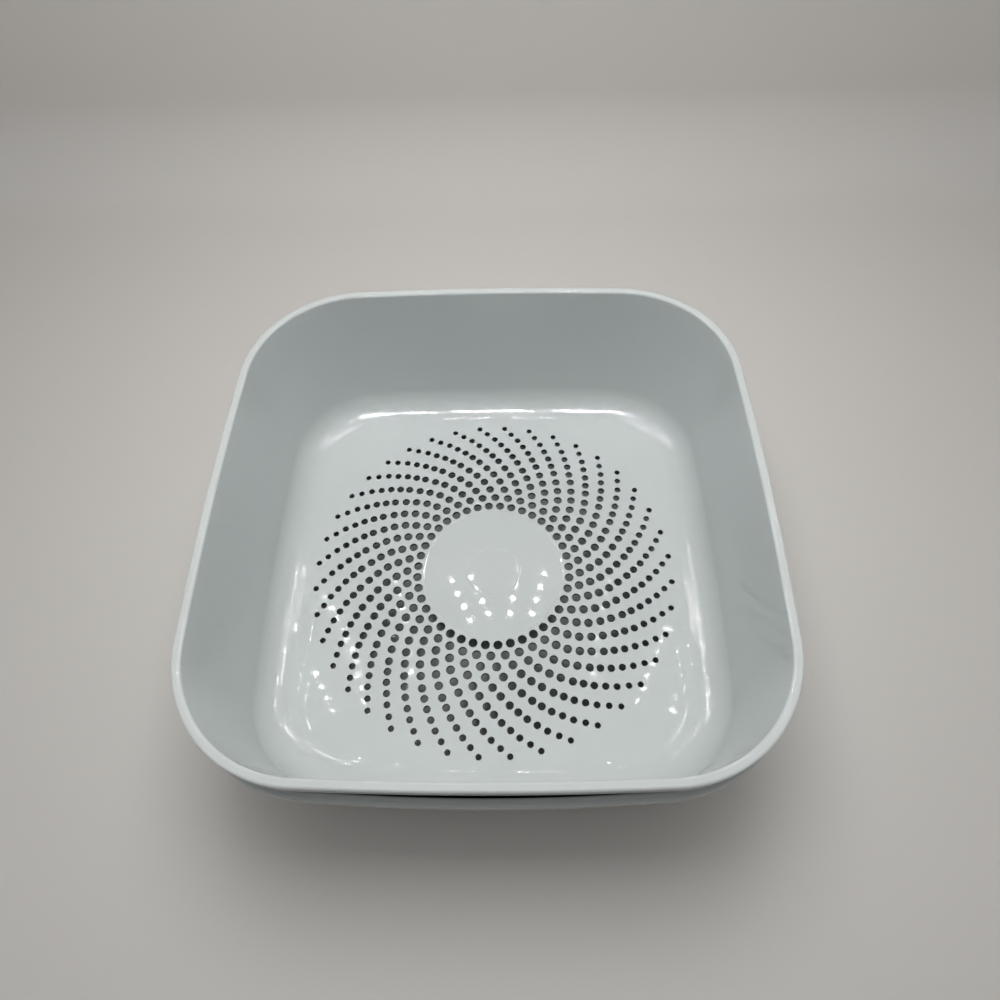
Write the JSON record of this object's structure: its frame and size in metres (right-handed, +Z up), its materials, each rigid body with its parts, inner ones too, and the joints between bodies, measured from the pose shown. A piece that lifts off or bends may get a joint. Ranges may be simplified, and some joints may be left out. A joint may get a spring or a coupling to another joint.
{
  "type": "colander",
  "caption": "Square strainer basket with soft corners and a spiral-perforated floor, standing in a plain outer bowl and lifting straight out of it.",
  "frame": {"origin": "centre of the object's footprint, in the plane of the bowl's foot ring, which is the surface it stands on", "axes": "+Z up out of the basket; +X and +Y square to the sides, with -Y the side nearest the camera in the picture"},
  "size_m": [0.2418, 0.2418, 0.0986],
  "materials": {
    "basket_plastic": "glossy moulded polypropylene, cool white",
    "bowl_plastic": "glossy moulded polypropylene, cool white"
  },
  "bodies": {
    "bowl": {"outer_bowl": "bowl_plastic"},
    "basket": {"strainer_basket": "basket_plastic"}
  },
  "joints": [
    {"name": "basket_lift", "type": "slide", "parent": "bowl", "child": "basket", "axis": [0, 0, 1], "range_m": [0, 0.1]}
  ]
}
